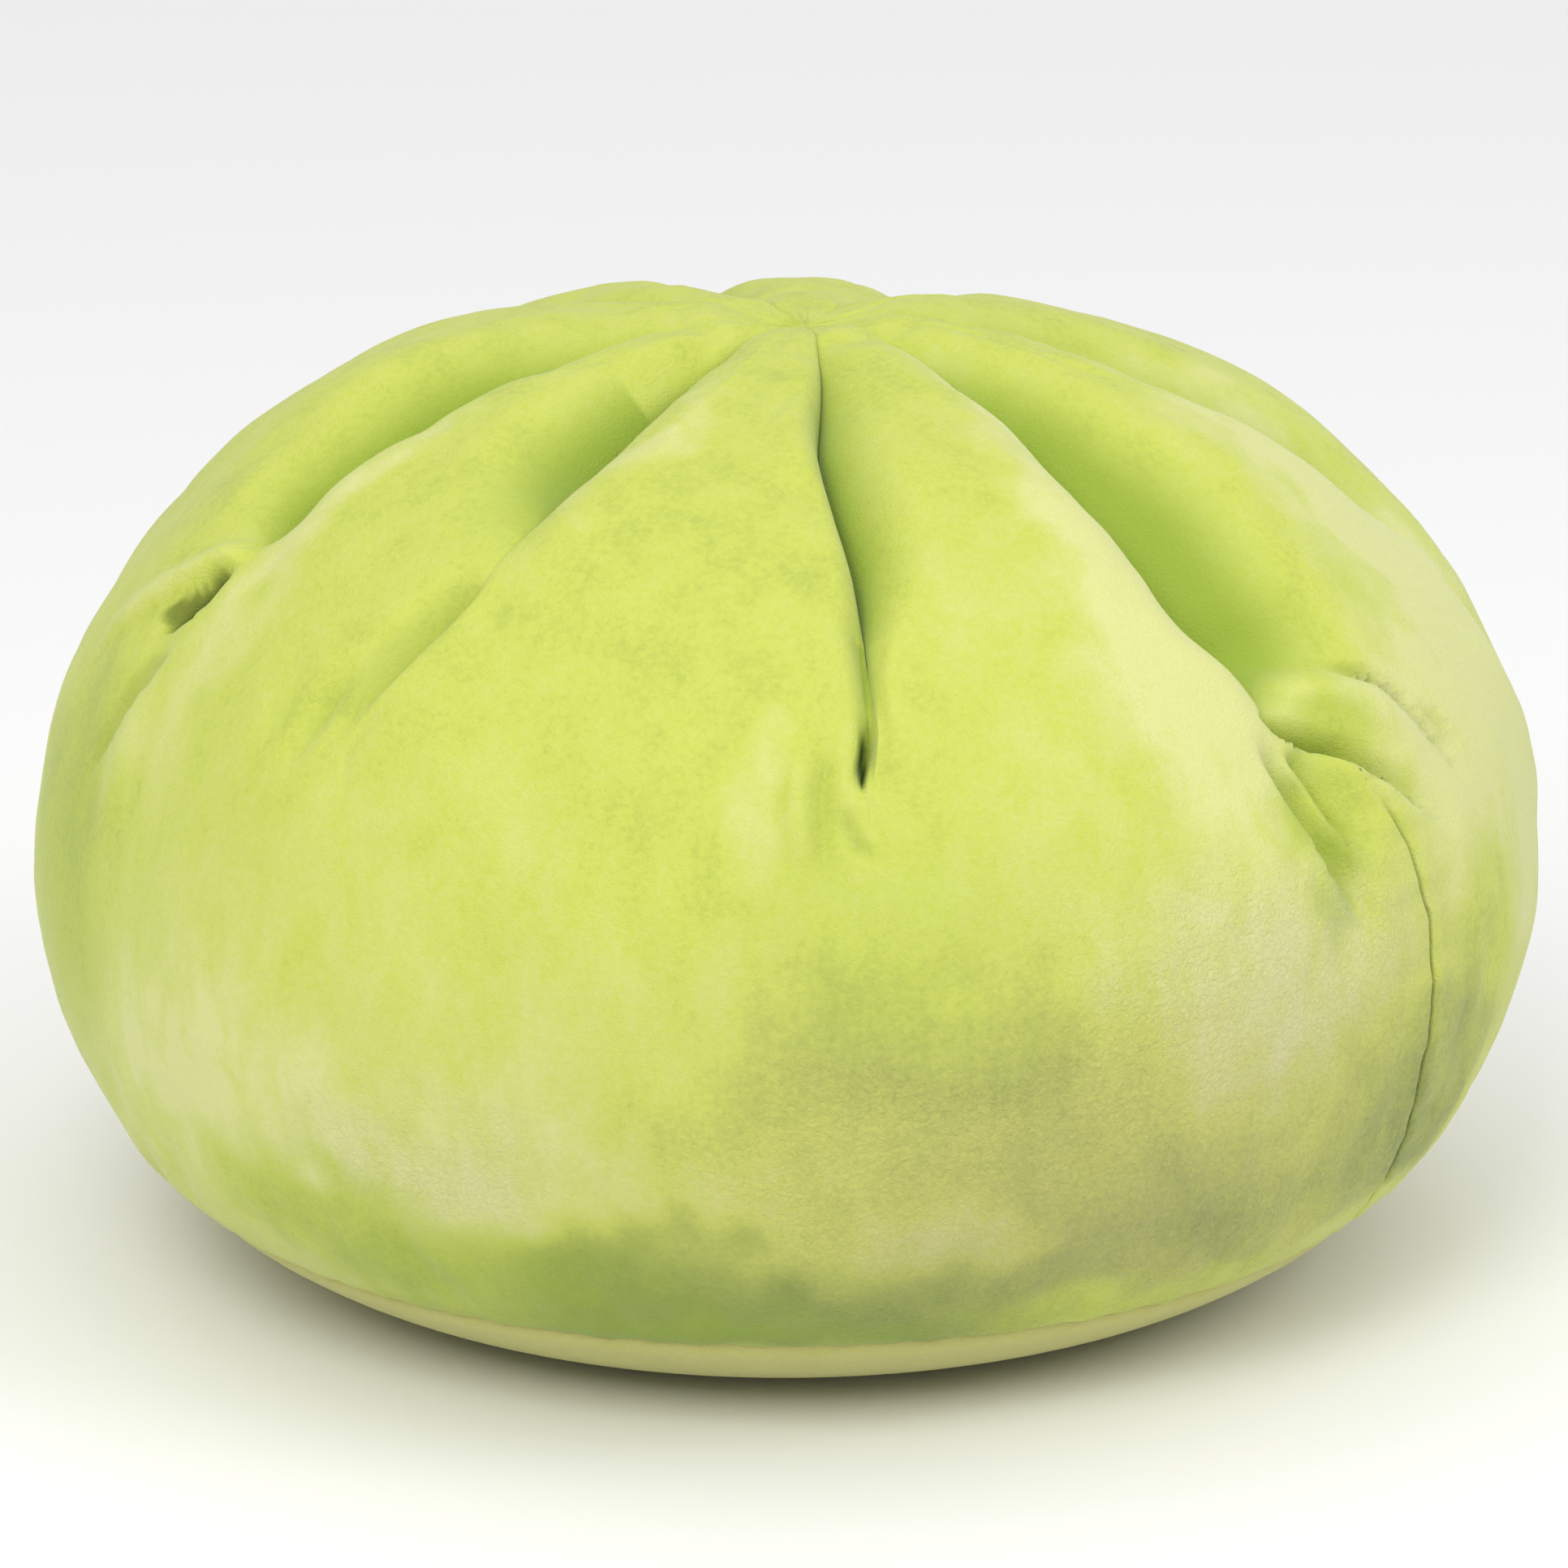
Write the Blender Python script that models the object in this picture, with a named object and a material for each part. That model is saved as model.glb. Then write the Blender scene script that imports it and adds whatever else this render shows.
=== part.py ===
"""Dumpling cushion: a stuffed body gathered into eight pleats at its crown, and the round panel sewn under it.

Metres, +Z up. The origin lies under the middle of the cushion, on the surface that it rests on, and its front
faces -Y. Azimuths are in degrees round from the front, towards +X. A place on the cover is given by its
azimuth and by its reach, the length along the cover from the gather at the crown.
"""

import math
from typing import NamedTuple

import bmesh
import bpy
import numpy as np

# The plump form, before any pleat
WIDTH = 0.500
HEIGHT = 0.320
WIDEST_HEIGHT = 0.131
FOOT_WIDTH = 0.242
CROWN_ROUNDNESS = 2.20
BELLY_ROUNDNESS = 1.97

# The gather at the crown lies a little forward and to the right of the middle
GATHER_SHIFT = (0.007, -0.008)
GATHER_SHIFT_REACH = 0.120
GATHER_DIMPLE = 0.005
GATHER_DIMPLE_REACH = 0.035
GATHER_EYE_REACH = 0.006

# Sewing
BASE_SEAM_REACH = 0.463
BASE_SEAM_DIP = 0.0030
BASE_SEAM_ROLL = 0.012
SIDE_SEAM_AZIMUTH = 55.3
SIDE_SEAM_START = 0.285
SIDE_SEAM_DIP = 0.0020
SIDE_SEAM_ROLL = 0.007
SIDE_SEAM_SPREAD = 1.2

CLOTH_THICKNESS = 0.0025
CLEARANCE = 0.0003

# How round the cloth rolls over into a pleat or a seam: 2 is a quarter circle
ROLL_ROUNDNESS = 2.0
# A shoulder takes no more than this share of the half lobe beside it
WIDEST_SHOULDER = 0.92


class Pleat(NamedTuple):
    name: str
    azimuth: float
    reach: float
    depth: float
    left_shoulder: float
    right_shoulder: float


# name, azimuth, reach of its sewn fold, deepest fold, width of the shoulder on either side of it
PLEATS = (
    Pleat("front", 6.0, 0.258, 0.030, 0.018, 0.036),
    Pleat("right", 45.0, 0.266, 0.042, 0.034, 0.060),
    Pleat("far_right", 87.0, 0.240, 0.020, 0.036, 0.040),
    Pleat("back_right", 145.0, 0.245, 0.028, 0.040, 0.040),
    Pleat("back_left", 209.0, 0.250, 0.028, 0.040, 0.036),
    Pleat("far_left", 240.0, 0.240, 0.026, 0.036, 0.040),
    Pleat("left", 290.0, 0.234, 0.036, 0.044, 0.036),
    Pleat("near_left", 324.0, 0.243, 0.038, 0.055, 0.034),
)


class Tuck(NamedTuple):
    name: str
    azimuth: float
    reach: float
    end_azimuth: float
    end_reach: float
    depth: float
    width: float


# Short troughs where the cloth bunches past the end of a pleat: start, end, deepest point, half width
TUCKS = (
    Tuck("right_pocket", 45.0, 0.258, 57.0, 0.288, 0.011, 0.015),
    Tuck("right_tuck", 42.5, 0.280, 45.0, 0.330, 0.007, 0.014),
    Tuck("left_pocket", 295.0, 0.232, 286.0, 0.256, 0.009, 0.014),
)


class FoldStage(NamedTuple):
    share_of_reach: float
    share_of_depth: float


# A pleat is shallow at the gather, deepest two thirds of the way out, and fades past the end of its sewing
FOLD_STAGES = (
    FoldStage(0.00, 0.00),
    FoldStage(0.20, 0.16),
    FoldStage(0.40, 0.42),
    FoldStage(0.60, 0.80),
    FoldStage(0.75, 1.00),
    FoldStage(0.90, 0.90),
    FoldStage(1.00, 0.42),
    FoldStage(1.10, 0.14),
    FoldStage(1.25, 0.00),
)


class Band(NamedTuple):
    start: float
    end: float
    rows: int


# Rows of faces down the cover, closest together where the pleats end and at the base seam
BODY_BANDS = (
    Band(GATHER_EYE_REACH, 0.100, 7),
    Band(0.100, 0.200, 6),
    Band(0.200, 0.275, 7),
    Band(0.275, 0.440, 7),
    Band(0.440, BASE_SEAM_REACH, 4),
)
PANEL_ROWS = 7
# Columns of faces across one lobe, closest together beside the pleats
LOBE_COLUMNS = (0.0, 0.035, 0.09, 0.17, 0.28, 0.42, 0.58, 0.72, 0.83, 0.91, 0.965)
OUTLINE_SAMPLES = 600

BODY_COLOUR = (0.617, 0.658, 0.178)
PANEL_COLOUR = (0.47, 0.45, 0.13)
CLOTH_ROUGHNESS = 0.9

RADIUS = WIDTH / 2
FOOT_RADIUS = FOOT_WIDTH / 2


def clear_scene():
    for old in list(bpy.data.objects):
        bpy.data.objects.remove(old, do_unlink=True)


def plump_outline():
    """Half section without pleats, gather to foot: reach, radius, height and the outward direction there."""
    turn = np.linspace(0, math.pi / 2, OUTLINE_SAMPLES)
    crown_radius = RADIUS * np.sin(turn) ** (2 / CROWN_ROUNDNESS)
    crown_rise = (HEIGHT - WIDEST_HEIGHT) * np.cos(turn) ** (2 / CROWN_ROUNDNESS)
    belly_radius = FOOT_RADIUS + (RADIUS - FOOT_RADIUS) * np.cos(turn) ** (2 / BELLY_ROUNDNESS)
    belly_drop = WIDEST_HEIGHT * np.sin(turn) ** (2 / BELLY_ROUNDNESS)
    radius = np.concatenate([crown_radius, belly_radius[1:]])
    height = np.concatenate([WIDEST_HEIGHT + crown_rise, WIDEST_HEIGHT - belly_drop[1:]])
    steps = np.hypot(np.diff(radius), np.diff(height))
    reach = np.concatenate([[0], np.cumsum(steps)])
    out_radius = -np.gradient(height, reach)
    out_height = np.gradient(radius, reach)
    return reach, radius, height, out_radius, out_height


OUTLINE = plump_outline()
FOOT_REACH = float(OUTLINE[0][-1])


def plump_point(reach):
    return [float(np.interp(reach, OUTLINE[0], values)) for values in OUTLINE[1:]]


def ease(share):
    """0 to 1, level at both ends."""
    share = min(1.0, max(0.0, share))
    return share * share * (3 - 2 * share)


def roll(distance, width):
    """Share of the full depth at a distance from a fold's line: 1 on the line and 0 past its rolled shoulder."""
    share = min(1.0, abs(distance) / width)
    return 1 - (1 - (1 - share) ** ROLL_ROUNDNESS) ** (1 / ROLL_ROUNDNESS)


def fold_depth(pleat, reach):
    place = reach / pleat.reach
    for before, after in zip(FOLD_STAGES, FOLD_STAGES[1:]):
        if place <= after.share_of_reach:
            span = after.share_of_reach - before.share_of_reach
            share = ease((place - before.share_of_reach) / span)
            gain = after.share_of_depth - before.share_of_depth
            return pleat.depth * (before.share_of_depth + gain * share)
    return 0.0


def lobe_of(number):
    """The pleats on either side of a lobe, and its width in degrees."""
    start = PLEATS[number]
    end = PLEATS[(number + 1) % len(PLEATS)]
    return start, end, (end.azimuth - start.azimuth) % 360


def sunk_by_pleats(number, share, reach, radius):
    """How far the cover lies below its plump form, a share of the way across a lobe."""
    start, end, width = lobe_of(number)
    across = radius * math.radians(width)
    room = WIDEST_SHOULDER * across / 2
    after_start = roll(share * across, min(start.right_shoulder, room))
    before_end = roll((1 - share) * across, min(end.left_shoulder, room))
    return fold_depth(start, reach) * after_start + fold_depth(end, reach) * before_end


def sunk_by_tucks(azimuth, reach, radius):
    """A tuck is deepest half way along its line and rounded off to either side."""
    depth = 0.0
    for tuck in TUCKS:
        along = radius * math.radians((tuck.end_azimuth - tuck.azimuth + 180) % 360 - 180)
        down = tuck.end_reach - tuck.reach
        across = radius * math.radians((azimuth - tuck.azimuth + 180) % 360 - 180)
        length = math.hypot(along, down)
        share = (across * along + (reach - tuck.reach) * down) / length**2
        aside = abs(across * down - (reach - tuck.reach) * along) / length
        if 0 < share < 1 and aside < tuck.width:
            depth += tuck.depth * math.sin(math.pi * share) * ease(1 - aside / tuck.width)
    return depth


def sunk_by_base_seam(reach):
    return BASE_SEAM_DIP * roll(reach - BASE_SEAM_REACH, BASE_SEAM_ROLL)


def sunk_by_side_seam(azimuth, reach, radius):
    across = radius * math.radians((azimuth - SIDE_SEAM_AZIMUTH + 180) % 360 - 180)
    begun = ease((reach - SIDE_SEAM_START) / SIDE_SEAM_ROLL / 2)
    return SIDE_SEAM_DIP * begun * roll(across, SIDE_SEAM_ROLL)


def columns():
    """Each column of the cover, as its lobe, its share of the way across that lobe and its azimuth."""
    found = []
    for number in range(len(PLEATS)):
        start, _, width = lobe_of(number)
        shares = list(LOBE_COLUMNS)
        seam_share = ((SIDE_SEAM_AZIMUTH - start.azimuth) % 360) / width
        if seam_share < 1:
            beside = SIDE_SEAM_SPREAD / width
            shares = [share for share in shares if abs(share - seam_share) > 1.5 * beside]
            shares += [seam_share - beside, seam_share, seam_share + beside]
        for share in sorted(shares):
            found.append((number, share, start.azimuth + share * width))
    return found


COLUMNS = columns()


def placed(azimuth, reach, depth):
    """The point a depth below the plump form."""
    radius, height, out_radius, out_height = plump_point(reach)
    shift = 1 - ease(reach / GATHER_SHIFT_REACH)
    turn = math.radians(azimuth)
    out = radius - depth * out_radius
    return (
        out * math.sin(turn) + GATHER_SHIFT[0] * shift,
        -out * math.cos(turn) + GATHER_SHIFT[1] * shift,
        height - depth * out_height,
    )


def cover_ring(reach):
    """One ring of points round the pleated cover."""
    radius = plump_point(reach)[0]
    dimple = GATHER_DIMPLE * (1 - ease(reach / GATHER_DIMPLE_REACH))
    points = []
    for number, share, azimuth in COLUMNS:
        depth = dimple + sunk_by_pleats(number, share, reach, radius)
        depth += sunk_by_tucks(azimuth, reach, radius) + sunk_by_base_seam(reach)
        depth += sunk_by_side_seam(azimuth, reach, radius)
        points.append(placed(azimuth, reach, depth))
    return points


def panel_ring(reach, layer):
    """One ring of points a layer deep under the base panel's face, or under the seam's edge."""
    depth = layer + sunk_by_base_seam(reach)
    return [placed(azimuth, reach, depth) for _, _, azimuth in COLUMNS]


def panel_reaches(start):
    """Rows from the base seam to the foot, closest together at the seam."""
    return [start + (FOOT_REACH - start) * (row / PANEL_ROWS) ** 1.6 for row in range(PANEL_ROWS + 1)]


def body_rings():
    """Rings of the stuffed body, from the gather down, in at the base seam and on under the base panel."""
    rings = []
    for band in BODY_BANDS:
        for row in range(band.rows):
            reach = band.start + (band.end - band.start) * row / band.rows
            rings.append(cover_ring(reach))
    rings.append(cover_ring(BASE_SEAM_REACH))
    for reach in panel_reaches(BASE_SEAM_REACH):
        rings.append(panel_ring(reach, CLOTH_THICKNESS + CLEARANCE))
    return rings


def panel_rings():
    """Rings of the base panel, from the middle of its inner face out to its sewn edge and back under."""
    reaches = panel_reaches(BASE_SEAM_REACH + CLEARANCE)
    inner = [panel_ring(reach, CLOTH_THICKNESS) for reach in reversed(reaches)]
    outer = [panel_ring(reach, 0.0) for reach in reaches]
    return inner + outer


def solid_of(name, rings, eye=None):
    """A closed solid through rings of points, closed by flat faces, or at its top by a fan to the eye point."""
    built = bmesh.new()
    loops = [[built.verts.new(point) for point in ring] for ring in rings]
    count = len(COLUMNS)
    for upper, lower in zip(loops, loops[1:]):
        for here in range(count):
            after = (here + 1) % count
            built.faces.new((upper[here], lower[here], lower[after], upper[after]))
    if eye is None:
        built.faces.new(loops[0])
    else:
        middle = built.verts.new(eye)
        for here in range(count):
            built.faces.new((middle, loops[0][here], loops[0][(here + 1) % count]))
    built.faces.new(reversed(loops[-1]))
    mesh = bpy.data.meshes.new(name)
    built.to_mesh(mesh)
    built.free()
    mesh.shade_smooth()
    mesh.set_sharp_from_angle(angle=math.radians(50))
    solid = bpy.data.objects.new(name, mesh)
    bpy.context.scene.collection.objects.link(solid)
    return solid


def velour(name, colour):
    material = bpy.data.materials.new(name)
    material.use_nodes = True
    shader = material.node_tree.nodes["Principled BSDF"]
    shader.inputs["Base Color"].default_value = (*colour, 1.0)
    shader.inputs["Roughness"].default_value = CLOTH_ROUGHNESS
    shader.inputs["Metallic"].default_value = 0.0
    material.diffuse_color = (*colour, 1.0)
    return material


def make_body():
    eye = placed(0.0, 0.0, GATHER_DIMPLE)
    body = solid_of("body", body_rings(), eye)
    body.data.materials.append(velour("velour_body", BODY_COLOUR))


def make_base_panel():
    panel = solid_of("base_panel", panel_rings())
    panel.data.materials.append(velour("velour_base_panel", PANEL_COLOUR))


def main():
    clear_scene()
    make_body()
    make_base_panel()


main()
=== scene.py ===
"""The looks of the dumpling cushion: its pleated velour cover, round base panel, stitches and stage.

Metres, +Z up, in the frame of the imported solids: the origin lies on the surface under the middle of the
cushion, and its front faces -Y. Azimuths are in degrees round from the front, towards +X. A place on the
cover is given by its azimuth and by its reach, the length along the cover from the gather at the crown.
"""

import math
from typing import NamedTuple

import bpy
import numpy as np
from mathutils import Euler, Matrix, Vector


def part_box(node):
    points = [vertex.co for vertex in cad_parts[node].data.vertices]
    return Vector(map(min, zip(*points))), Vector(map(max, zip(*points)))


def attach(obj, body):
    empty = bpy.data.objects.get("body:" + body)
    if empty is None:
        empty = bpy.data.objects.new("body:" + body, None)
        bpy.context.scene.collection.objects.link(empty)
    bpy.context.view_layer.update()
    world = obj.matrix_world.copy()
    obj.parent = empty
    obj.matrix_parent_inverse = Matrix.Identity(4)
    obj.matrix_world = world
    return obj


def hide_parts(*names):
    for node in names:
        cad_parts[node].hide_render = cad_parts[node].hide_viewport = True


bl_info = {
    "name": "Dumpling cushion",
    "version": (1, 0, 0),
    "blender": (4, 5, 0),
    "location": "View3D > Sidebar > Cushion",
    "description": "Makes a gathered velour cushion with its base panel, stitches and studio",
    "category": "Object",
}

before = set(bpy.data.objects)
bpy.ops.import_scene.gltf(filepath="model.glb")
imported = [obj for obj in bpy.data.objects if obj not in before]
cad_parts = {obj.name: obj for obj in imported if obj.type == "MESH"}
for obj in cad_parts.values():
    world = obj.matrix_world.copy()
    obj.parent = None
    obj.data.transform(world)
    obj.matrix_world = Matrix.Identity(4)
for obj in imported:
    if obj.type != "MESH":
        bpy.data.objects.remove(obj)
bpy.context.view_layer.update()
BODY_LOW, BODY_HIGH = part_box("body")

# The plump form, before any pleat: its widest point and foot are those of the solids
WIDTH = BODY_HIGH.x - BODY_LOW.x
HEIGHT = 0.320
WIDEST_HEIGHT = 0.131
FOOT_WIDTH = 0.242
CROWN_ROUNDNESS = 2.20
BELLY_ROUNDNESS = 1.97
RADIUS = WIDTH / 2
FOOT_RADIUS = FOOT_WIDTH / 2
OUTLINE_SAMPLES = 4000

# The gather at the crown
GATHER_SHIFT = (0.007, -0.008)
GATHER_SHIFT_REACH = 0.120
GATHER_DIMPLE = 0.005
GATHER_DIMPLE_REACH = 0.035
GATHER_EYE_REACH = 0.0025
GATHER_PUCKER_HEIGHT = 0.0007
GATHER_PUCKER_REACH = 0.022
GATHER_PUCKERS_BEGIN = 0.008
GATHER_PUCKER_COUNTS = (19, 23, 31, 37)

# Seams, the side seam's line as (reach, azimuth) points
BASE_SEAM_REACH = 0.463
BASE_SEAM_DIP = 0.0030
BASE_SEAM_ROLL = 0.009
SIDE_SEAM_PATH = ((0.0, 55.3), (0.262, 46.5), (0.274, 48.8), (0.287, 50.9), (0.303, 53.2), (0.330, 55.2),
                  (0.387, 55.4), (0.414, 55.9), (0.463, 58.5))
SIDE_SEAM_START = 0.272
SIDE_SEAM_BEGINS_OVER = 0.012
SIDE_SEAM_DIP = 0.0024
SIDE_SEAM_ROLL = 0.0036
SEAM_COLUMNS = (0.0, 0.0003, 0.0007, 0.0013, 0.0022, 0.0036, 0.0058, 0.0090)
# Painted shade in the seams' grooves: how dark, over what width, and over what reach it builds up along the
# side seam
SEAM_DARKNESS = 0.45
SEAM_DARK_WIDTH = 0.0009
BASE_SEAM_DARK_WIDTH = 3 * SEAM_DARK_WIDTH
SEAM_DARKENS_OVER = 0.070
SIDE_GUIDE_ENDS = (0.004, 0.006)
SIDE_GUIDE_POINTS = 90
BASE_GUIDE_POINTS = 360
CLOTH_THICKNESS = 0.0025
CLEARANCE = 0.0003

# The meshes' rows and columns
WIDEST_SHOULDER = 0.92
SHOULDER_PITCH = 0.0032
SHOULDER_EXTRA_COLUMNS = 4
SHOULDER_CROWDING = 1.7
ROW_PITCH = 0.0024
FINE_ROW_PITCH = 0.0018
FINE_ROWS = (0.225, 0.340)
EVEN_COLUMNS_FROM = 0.285
EVEN_COLUMNS_BY = 0.360
SEAM_COLUMNS_BEGIN_OVER = 0.022
GATHER_PITCH = 0.0007
GATHER_PITCH_GROWTH = 0.04
BASE_PITCH = 0.0005
BASE_PITCH_GROWTH = 0.15
UNDERSIDE_ROWS = 8
PANEL_ROWS = 26
PANEL_COLUMNS = 400
PANEL_CROWDING = 1.5


class Pleat(NamedTuple):
    name: str
    path: tuple
    deepest: float
    hold: float
    end: float
    depth: float
    left_shoulder: float
    right_shoulder: float
    left_soft: float
    right_soft: float
    columns: int
    left_narrowed: float = 1.0
    right_narrowed: float = 1.0


# name, line as (reach, azimuth) points; reaches at which it has its full depth, begins to close and is shut;
# depth; shoulders and their softness on either side; mesh columns to the next pleat; and the shares of its
# shoulders' widths that are left as it closes
PLEATS = (
    Pleat("front",
          ((0.0, 8.5), (0.055, 8.3), (0.11, 6.0), (0.18, 7.8), (0.237, 7.6), (0.262, 6.4)),
          0.130, 0.165, 0.264, 0.022, 0.008, 0.026, 0.0, 0.25, 58, 1.6, 0.20),
    Pleat("right",
          ((0.0, 43.0), (0.1, 44.5), (0.15, 42.2), (0.2, 41.8), (0.233, 43.6), (0.262, 42.6)),
          0.175, 0.215, 0.262, 0.040, 0.026, 0.056, 0.0, 0.35, 60, 0.6, 1.0),
    Pleat("far_right",
          ((0.0, 84.0), (0.12, 84.0), (0.24, 89.0)),
          0.100, 0.180, 0.245, 0.014, 0.030, 0.036, 0.0, 0.30, 54),
    Pleat("back_right",
          ((0.0, 157.0), (0.12, 154.5), (0.25, 156.0)),
          0.150, 0.215, 0.270, 0.028, 0.040, 0.034, 0.2, 0.2, 40),
    Pleat("back_left",
          ((0.0, 197.0), (0.12, 199.0), (0.25, 198.0)),
          0.150, 0.220, 0.270, 0.028, 0.034, 0.030, 0.2, 0.2, 40),
    Pleat("far_left",
          ((0.0, 238.0), (0.12, 237.0), (0.25, 239.0)),
          0.150, 0.210, 0.265, 0.018, 0.030, 0.020, 0.0, 0.0, 50),
    Pleat("left",
          ((0.0, 288.0), (0.1, 292.0), (0.172, 294.8), (0.205, 297.4), (0.225, 297.0), (0.25, 292.5)),
          0.150, 0.176, 0.212, 0.034, 0.034, 0.024, 0.10, 0.0, 46),
    Pleat("near_left",
          ((0.0, 323.0), (0.06, 327.0), (0.1, 329.3), (0.16, 330.3), (0.19, 329.8), (0.25, 324.0)),
          0.110, 0.115, 0.195, 0.030, 0.056, 0.024, 0.45, 0.0, 72),
)
SEAMED_LOBE = 1
COLUMNS_BEFORE_SEAM = 10


class Crease(NamedTuple):
    name: str
    path: tuple
    depth: float
    left_width: float
    right_width: float
    sharp: float
    rise: float
    fall: float
    painted_shade: float = 0.0


# Small folds that the sewing pulls into the cloth: line as (azimuth, reach) points; depth, below 0 for a
# ridge; half width on either side as the line is walked; from 0 for a soft trough to 1 for a sharp one; the
# shares of its length over which it deepens and dies away; and how dark the painted shade inside it is
CREASES = (
    Crease("right_pocket",
           ((41.4, 0.249), (44.0, 0.2595), (47.6, 0.2670), (51.1, 0.2775), (55.0, 0.2905), (58.8, 0.303),
            (61.5, 0.313)),
           0.0155, 0.0105, 0.0025, 0.6, 0.12, 0.74),
    Crease("right_flap_lip",
           ((42.5, 0.259), (46.0, 0.2685), (49.2, 0.276), (51.9, 0.285), (54.9, 0.295), (58.0, 0.305)),
           -0.0022, 0.003, 0.010, 0.0, 0.20, 0.50),
    Crease("right_bulge",
           ((42.5, 0.230), (47.0, 0.243), (52.0, 0.255), (56.5, 0.271), (59.0, 0.286)),
           -0.0050, 0.014, 0.010, 0.0, 0.30, 0.50),
    Crease("right_facet",
           ((43.0, 0.262), (44.2, 0.273), (45.8, 0.288), (47.6, 0.297), (49.8, 0.306)),
           0.0070, 0.018, 0.0020, 0.4, 0.15, 0.35),
    Crease("right_tuck_ridge",
           ((41.8, 0.260), (43.1, 0.272), (44.8, 0.287), (46.6, 0.297), (48.8, 0.306)),
           -0.0030, 0.003, 0.006, 0.0, 0.25, 0.40),
    Crease("right_tuck",
           ((39.8, 0.254), (41.0, 0.266), (42.3, 0.279), (43.8, 0.292), (45.3, 0.305), (46.6, 0.318),
            (47.8, 0.333)),
           0.0078, 0.015, 0.0055, 0.0, 0.22, 0.36),
    Crease("right_crown_line",
           ((50.0, 0.237), (55.4, 0.248), (58.2, 0.259), (60.6, 0.273), (62.6, 0.287), (64.0, 0.300)),
           0.0052, 0.003, 0.009, 0.4, 0.30, 0.40, 0.10),
    Crease("right_crown_ridge",
           ((52.0, 0.245), (56.5, 0.256), (59.4, 0.269), (61.6, 0.284), (63.0, 0.298)),
           -0.0022, 0.004, 0.005, 0.0, 0.30, 0.40),
    Crease("right_short_line",
           ((61.1, 0.262), (62.8, 0.272), (64.8, 0.286)),
           0.0036, 0.0025, 0.006, 0.4, 0.30, 0.50),
    Crease("left_pocket",
           ((298.4, 0.213), (298.0, 0.223), (297.4, 0.231), (295.6, 0.239), (292.8, 0.246)),
           0.0115, 0.003, 0.0085, 0.2, 0.20, 0.50, 0.90),
    # Painted shadow: with almost no depth, this crease is there for the dark colour on the pocket's visible
    # wall
    Crease("left_pocket_shade",
           ((298.4, 0.212), (297.4, 0.222), (296.2, 0.230), (294.4, 0.2365), (292.2, 0.242)),
           0.0002, 0.0060, 0.0050, 0.0, 0.60, 0.35, 0.60),
    Crease("left_pocket_ridge",
           ((299.0, 0.203), (296.0, 0.217), (292.0, 0.233), (287.6, 0.249), (283.0, 0.268)),
           -0.0045, 0.0055, 0.0130, 0.0, 0.15, 0.45),
    Crease("left_edge",
           ((297.6, 0.240), (297.0, 0.253), (294.8, 0.275), (292.0, 0.305)),
           0.0042, 0.004, 0.016, 0.3, 0.30, 0.60, 0.20),
    Crease("left_long_ridge",
           ((298.0, 0.256), (297.5, 0.285), (298.0, 0.316)),
           -0.0018, 0.012, 0.012, 0.0, 0.4, 0.5),
    Crease("near_left_line",
           ((330.3, 0.185), (328.8, 0.203), (326.6, 0.220), (324.8, 0.234), (322.9, 0.250), (321.2, 0.264)),
           0.0062, 0.0040, 0.020, 0.3, 0.28, 0.50, 0.10),
    Crease("near_left_soft",
           ((321.5, 0.228), (320.4, 0.244), (318.2, 0.274)),
           0.0045, 0.006, 0.011, 0.2, 0.40, 0.50),
    Crease("near_left_second",
           ((318.0, 0.236), (316.5, 0.250), (315.0, 0.268)),
           0.0030, 0.006, 0.010, 0.1, 0.5, 0.5),
    Crease("front_inner",
           ((7.0, 0.188), (7.2, 0.208), (7.3, 0.225), (7.1, 0.243), (6.3, 0.260)),
           0.0055, 0.0015, 0.0065, 0.1, 0.30, 0.25),
    Crease("front_hole",
           ((7.1, 0.230), (6.8, 0.240), (6.3, 0.250), (5.7, 0.262)),
           0.0150, 0.0016, 0.0030, 0.5, 0.45, 0.38, 1.00),
    Crease("front_soft",
           ((3.3, 0.236), (2.9, 0.250), (2.8, 0.264), (3.0, 0.280), (3.6, 0.296)),
           0.0054, 0.0080, 0.0030, 0.2, 0.4, 0.5, 0.05),
    Crease("front_fullness",
           ((1.0, 0.240), (0.9, 0.256), (1.0, 0.272), (1.8, 0.288)),
           -0.0030, 0.006, 0.006, 0.0, 0.4, 0.5),
    Crease("front_smile",
           ((4.7, 0.262), (5.0, 0.271), (5.9, 0.277), (7.4, 0.281)),
           0.0040, 0.0035, 0.0055, 0.2, 0.3, 0.5, 0.05),
)


class Lump(NamedTuple):
    azimuth: float
    reach: float
    half_width: float
    half_height: float
    height: float


# Places where the stuffing is fuller, height above 0, or slack
LUMPS = (
    Lump(266.0, 0.135, 0.050, 0.070, 0.0055),
    Lump(178.0, 0.060, 0.040, 0.060, -0.0030),
    Lump(92.0, 0.345, 0.120, 0.050, 0.0024),
    Lump(82.0, 0.210, 0.060, 0.045, -0.0022),
    Lump(118.0, 0.170, 0.070, 0.050, 0.0025),
    Lump(68.0, 0.420, 0.070, 0.035, 0.0020),
)

# Unevenness of the stuffing: wave length and height
DENTS = ((0.130, 0.0008), (0.055, 0.0005), (0.022, 0.00012))
DENTS_BEGIN_OVER = 0.05
DENTS_END_OVER = 0.03
WAVES = 28
WAVE_STRETCH = (0.7, 1.3)
DENT_SEED = 7
PUCKER_SEED = 11
BASE_PUCKER_HEIGHT = 0.00035
BASE_PUCKER_REACH = 0.010
BASE_PUCKER_LENGTH = 0.020
SIDE_PUCKER_HEIGHT = 0.0009
SIDE_PUCKER_WIDTH = 0.009
SIDE_PUCKER_LENGTH = 0.011
LONGER_PUCKERS = 1.7

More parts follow.
